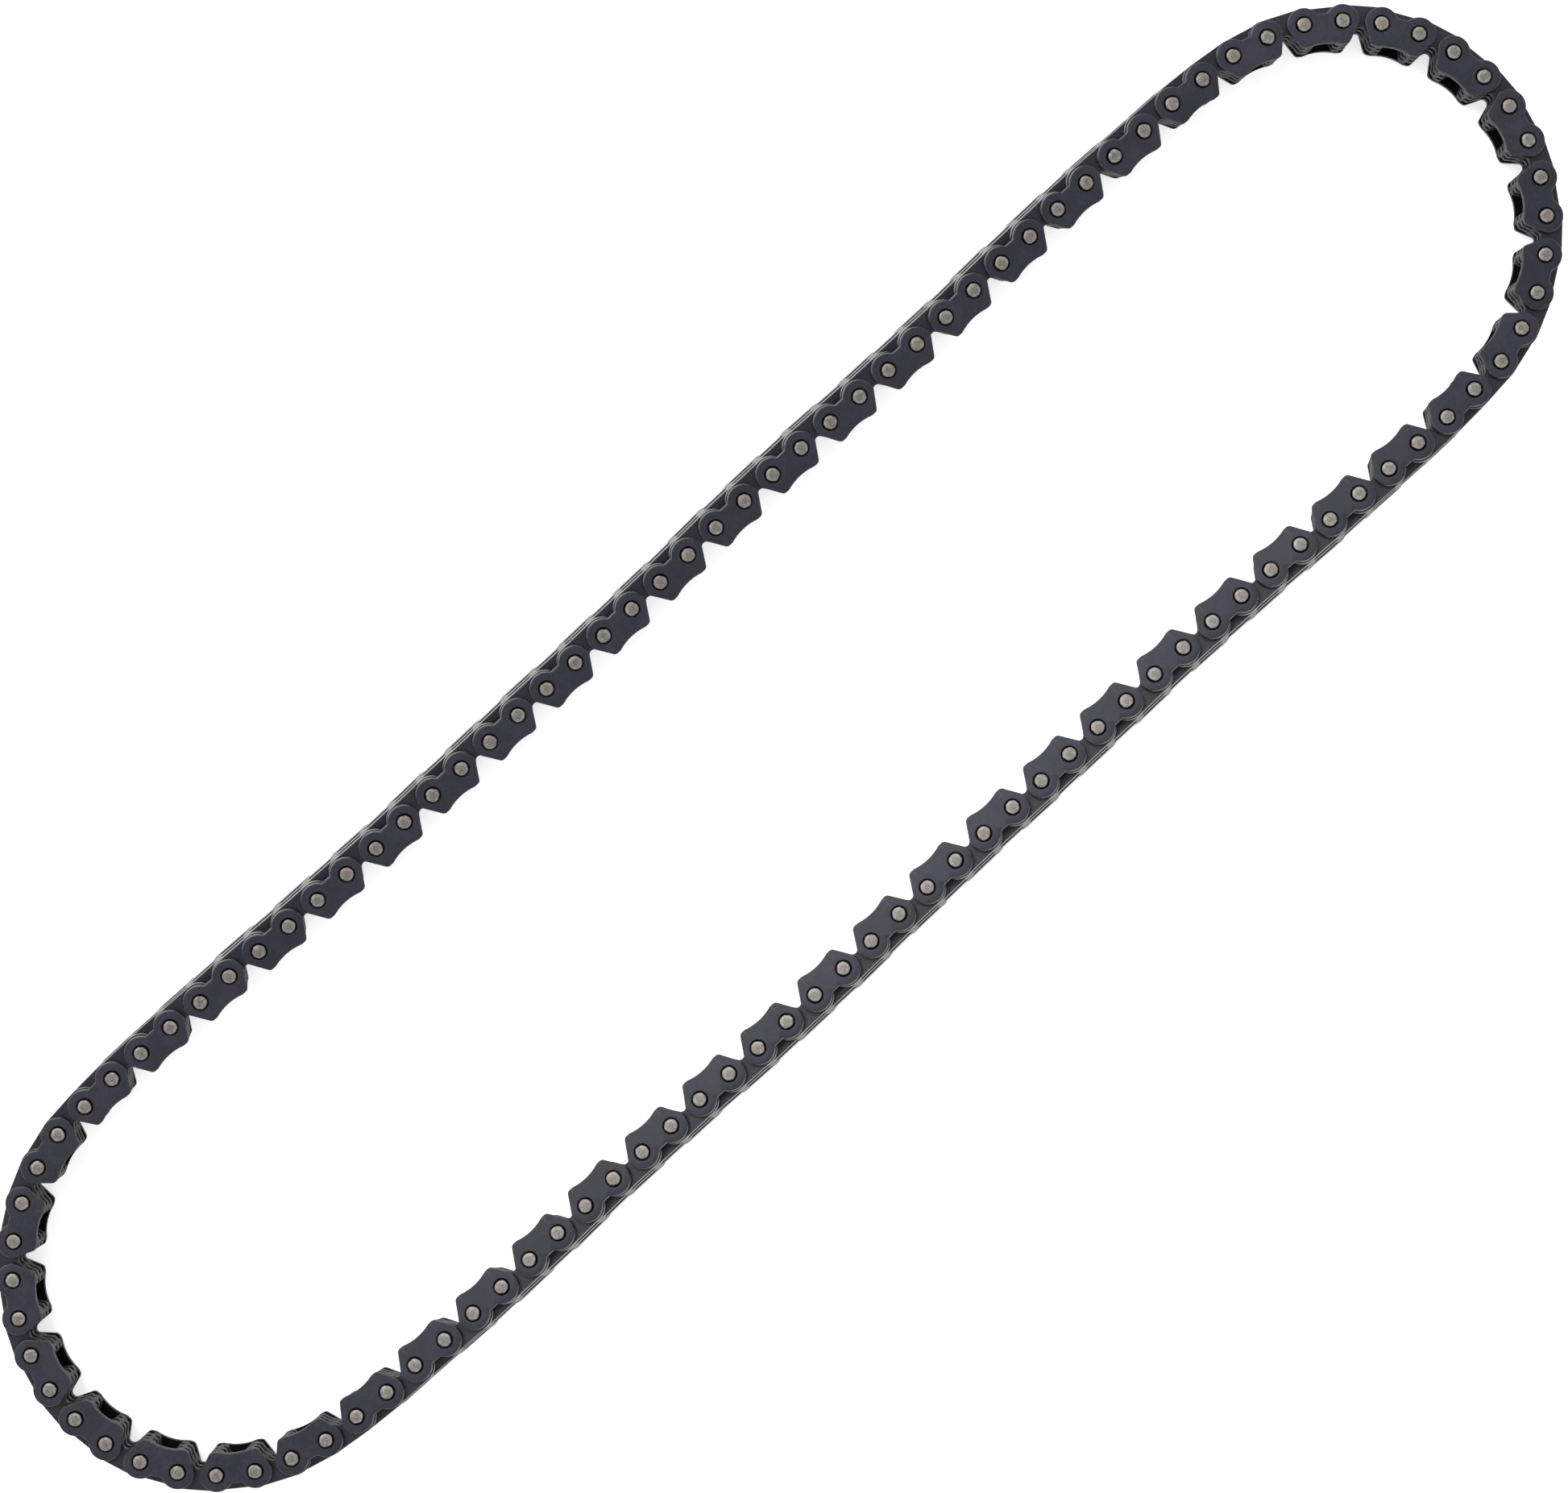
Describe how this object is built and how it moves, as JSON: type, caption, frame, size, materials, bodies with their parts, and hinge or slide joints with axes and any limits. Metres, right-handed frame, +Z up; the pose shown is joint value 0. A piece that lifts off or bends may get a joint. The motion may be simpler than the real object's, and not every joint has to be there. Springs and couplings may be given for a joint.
{
  "type": "timing chain",
  "caption": "Endless inverted-tooth timing chain lying on its side as a long loop, with laced toothed plates on riveted pins.",
  "frame": {"origin": "on the surface the chain lies on, at the middle of the loop", "axes": "+X along the loop's straight runs, +Y across the loop, +Z up, along the pins of the round ends"},
  "size_m": [0.323, 0.0776, 0.0096],
  "materials": {
    "guide_plate": "dark oxidised spring steel, satin",
    "toothed_plate": "dark oxidised spring steel with paler stamped edges",
    "pin": "bare ground steel, riveted ends"
  },
  "bodies": {
    "right_end_01": {"right_end_01_toothed_plates": "toothed_plate"},
    "right_end_02": {"right_end_02_guide_plates": "guide_plate", "right_end_02_pins": "pin", "right_end_02_toothed_plates": "toothed_plate"},
    "right_end_03": {"right_end_03_toothed_plates": "toothed_plate"},
    "right_end_04": {"right_end_04_guide_plates": "guide_plate", "right_end_04_pins": "pin", "right_end_04_toothed_plates": "toothed_plate"},
    "right_end_05": {"right_end_05_toothed_plates": "toothed_plate"},
    "right_end_06": {"right_end_06_guide_plates": "guide_plate", "right_end_06_pins": "pin", "right_end_06_toothed_plates": "toothed_plate"},
    "right_end_07": {"right_end_07_toothed_plates": "toothed_plate"},
    "right_end_08": {"right_end_08_guide_plates": "guide_plate", "right_end_08_pins": "pin", "right_end_08_toothed_plates": "toothed_plate"},
    "right_end_09": {"right_end_09_toothed_plates": "toothed_plate"},
    "upper_run_1": {"upper_run_1_guide_plates": "guide_plate", "upper_run_1_pins": "pin", "upper_run_1_toothed_plates": "toothed_plate"},
    "upper_run_2": {"upper_run_2_guide_plates": "guide_plate", "upper_run_2_pins": "pin", "upper_run_2_toothed_plates": "toothed_plate"},
    "upper_run_3": {"upper_run_3_guide_plates": "guide_plate", "upper_run_3_pins": "pin", "upper_run_3_toothed_plates": "toothed_plate"},
    "left_end_01": {"left_end_01_toothed_plates": "toothed_plate"},
    "left_end_02": {"left_end_02_guide_plates": "guide_plate", "left_end_02_pins": "pin", "left_end_02_toothed_plates": "toothed_plate"},
    "left_end_03": {"left_end_03_toothed_plates": "toothed_plate"},
    "left_end_04": {"left_end_04_guide_plates": "guide_plate", "left_end_04_pins": "pin", "left_end_04_toothed_plates": "toothed_plate"},
    "left_end_05": {"left_end_05_toothed_plates": "toothed_plate"},
    "left_end_06": {"left_end_06_guide_plates": "guide_plate", "left_end_06_pins": "pin", "left_end_06_toothed_plates": "toothed_plate"},
    "left_end_07": {"left_end_07_toothed_plates": "toothed_plate"},
    "left_end_08": {"left_end_08_guide_plates": "guide_plate", "left_end_08_pins": "pin", "left_end_08_toothed_plates": "toothed_plate"},
    "left_end_09": {"left_end_09_toothed_plates": "toothed_plate"},
    "lower_run_1": {"lower_run_1_guide_plates": "guide_plate", "lower_run_1_pins": "pin", "lower_run_1_toothed_plates": "toothed_plate"},
    "lower_run_2": {"lower_run_2_guide_plates": "guide_plate", "lower_run_2_pins": "pin", "lower_run_2_toothed_plates": "toothed_plate"},
    "lower_run_3": {"lower_run_3_guide_plates": "guide_plate", "lower_run_3_pins": "pin", "lower_run_3_toothed_plates": "toothed_plate"}
  },
  "joints": [
    {"name": "upper_run_2_to_3_pivot", "type": "hinge", "parent": "upper_run_2", "child": "upper_run_3", "pos_m": [-0.04701, 0.03331, 0.00493], "axis": [0, 0, 1], "range_deg": [-6, 6]},
    {"name": "left_end_pivot_01", "type": "hinge", "parent": "upper_run_3", "child": "left_end_01", "pos_m": [-0.1465, 0.02456, 0.00493], "axis": [0, 0, 1], "range_deg": [-10, 10]},
    {"name": "left_end_pivot_02", "type": "hinge", "parent": "left_end_01", "child": "left_end_02", "pos_m": [-0.1509, 0.01999, 0.00493], "axis": [0, 0, 1], "range_deg": [-3, 3]},
    {"name": "left_end_pivot_03", "type": "hinge", "parent": "left_end_02", "child": "left_end_03", "pos_m": [-0.15438, 0.01468, 0.00493], "axis": [0, 0, 1], "range_deg": [-10, 10]},
    {"name": "left_end_pivot_04", "type": "hinge", "parent": "left_end_03", "child": "left_end_04", "pos_m": [-0.15695, 0.00887, 0.00493], "axis": [0, 0, 1], "range_deg": [-3, 3]},
    {"name": "left_end_pivot_05", "type": "hinge", "parent": "left_end_04", "child": "left_end_05", "pos_m": [-0.15843, 0.0027, 0.00493], "axis": [0, 0, 1], "range_deg": [-10, 10]},
    {"name": "left_end_pivot_06", "type": "hinge", "parent": "left_end_05", "child": "left_end_06", "pos_m": [-0.15861, -0.00365, 0.00493], "axis": [0, 0, 1], "range_deg": [-10, 10]},
    {"name": "left_end_pivot_07", "type": "hinge", "parent": "left_end_06", "child": "left_end_07", "pos_m": [-0.15764, -0.00993, 0.00493], "axis": [0, 0, 1], "range_deg": [-3, 3]},
    {"name": "left_end_pivot_08", "type": "hinge", "parent": "left_end_07", "child": "left_end_08", "pos_m": [-0.15549, -0.0159, 0.00493], "axis": [0, 0, 1], "range_deg": [-10, 10]},
    {"name": "left_end_pivot_09", "type": "hinge", "parent": "left_end_08", "child": "left_end_09", "pos_m": [-0.15211, -0.02128, 0.00493], "axis": [0, 0, 1], "range_deg": [-3, 3]},
    {"name": "left_end_pivot_10", "type": "hinge", "parent": "left_end_09", "child": "lower_run_1", "pos_m": [-0.14774, -0.02589, 0.00493], "axis": [0, 0, 1], "range_deg": [-10, 10]},
    {"name": "lower_run_1_to_2_pivot", "type": "hinge", "parent": "lower_run_1", "child": "lower_run_2", "pos_m": [-0.04822, -0.03452, 0.00493], "axis": [0, 0, 1], "range_deg": [-6, 6]},
    {"name": "lower_run_2_to_3_pivot", "type": "hinge", "parent": "lower_run_2", "child": "lower_run_3", "pos_m": [0.04701, -0.03331, 0.00493], "axis": [0, 0, 1], "range_deg": [-6, 6]},
    {"name": "upper_run_1_to_2_pivot", "type": "hinge", "parent": "upper_run_2", "child": "upper_run_1", "pos_m": [0.04822, 0.03452, 0.00493], "axis": [0, 0, 1], "range_deg": [-6, 6]},
    {"name": "right_end_pivot_10", "type": "hinge", "parent": "upper_run_1", "child": "right_end_09", "pos_m": [0.14774, 0.02589, 0.00493], "axis": [0, 0, 1], "range_deg": [-10, 10]},
    {"name": "right_end_pivot_09", "type": "hinge", "parent": "right_end_09", "child": "right_end_08", "pos_m": [0.15211, 0.02128, 0.00493], "axis": [0, 0, 1], "range_deg": [-3, 3]},
    {"name": "right_end_pivot_08", "type": "hinge", "parent": "right_end_08", "child": "right_end_07", "pos_m": [0.15549, 0.0159, 0.00493], "axis": [0, 0, 1], "range_deg": [-10, 10]},
    {"name": "right_end_pivot_07", "type": "hinge", "parent": "right_end_07", "child": "right_end_06", "pos_m": [0.15764, 0.00993, 0.00493], "axis": [0, 0, 1], "range_deg": [-3, 3]},
    {"name": "right_end_pivot_06", "type": "hinge", "parent": "right_end_06", "child": "right_end_05", "pos_m": [0.15861, 0.00365, 0.00493], "axis": [0, 0, 1], "range_deg": [-10, 10]},
    {"name": "right_end_pivot_05", "type": "hinge", "parent": "right_end_05", "child": "right_end_04", "pos_m": [0.15843, -0.0027, 0.00493], "axis": [0, 0, 1], "range_deg": [-10, 10]},
    {"name": "right_end_pivot_04", "type": "hinge", "parent": "right_end_04", "child": "right_end_03", "pos_m": [0.15695, -0.00887, 0.00493], "axis": [0, 0, 1], "range_deg": [-3, 3]},
    {"name": "right_end_pivot_03", "type": "hinge", "parent": "right_end_03", "child": "right_end_02", "pos_m": [0.15438, -0.01468, 0.00493], "axis": [0, 0, 1], "range_deg": [-10, 10]},
    {"name": "right_end_pivot_02", "type": "hinge", "parent": "right_end_02", "child": "right_end_01", "pos_m": [0.1509, -0.01999, 0.00493], "axis": [0, 0, 1], "range_deg": [-3, 3]}
  ],
  "couplings": [
    {"joint": "left_end_pivot_02", "follows": "upper_run_2_to_3_pivot", "ratio": -0.5},
    {"joint": "left_end_pivot_03", "follows": "left_end_pivot_01", "ratio": 1},
    {"joint": "left_end_pivot_04", "follows": "upper_run_2_to_3_pivot", "ratio": -0.5},
    {"joint": "left_end_pivot_05", "follows": "left_end_pivot_01", "ratio": 1},
    {"joint": "left_end_pivot_06", "follows": "left_end_pivot_01", "ratio": -1},
    {"joint": "left_end_pivot_07", "follows": "upper_run_2_to_3_pivot", "ratio": -0.5},
    {"joint": "left_end_pivot_08", "follows": "left_end_pivot_01", "ratio": -1},
    {"joint": "left_end_pivot_09", "follows": "upper_run_2_to_3_pivot", "ratio": -0.5},
    {"joint": "left_end_pivot_10", "follows": "left_end_pivot_01", "ratio": -1},
    {"joint": "lower_run_1_to_2_pivot", "follows": "upper_run_2_to_3_pivot", "ratio": 1},
    {"joint": "lower_run_2_to_3_pivot", "follows": "upper_run_2_to_3_pivot", "ratio": 1},
    {"joint": "upper_run_1_to_2_pivot", "follows": "upper_run_2_to_3_pivot", "ratio": -1},
    {"joint": "right_end_pivot_10", "follows": "left_end_pivot_01", "ratio": 1},
    {"joint": "right_end_pivot_09", "follows": "upper_run_2_to_3_pivot", "ratio": 0.5},
    {"joint": "right_end_pivot_08", "follows": "left_end_pivot_01", "ratio": 1},
    {"joint": "right_end_pivot_07", "follows": "upper_run_2_to_3_pivot", "ratio": 0.5},
    {"joint": "right_end_pivot_06", "follows": "left_end_pivot_01", "ratio": 1},
    {"joint": "right_end_pivot_05", "follows": "left_end_pivot_01", "ratio": -1},
    {"joint": "right_end_pivot_04", "follows": "upper_run_2_to_3_pivot", "ratio": 0.5},
    {"joint": "right_end_pivot_03", "follows": "left_end_pivot_01", "ratio": -1},
    {"joint": "right_end_pivot_02", "follows": "upper_run_2_to_3_pivot", "ratio": 0.5}
  ]
}
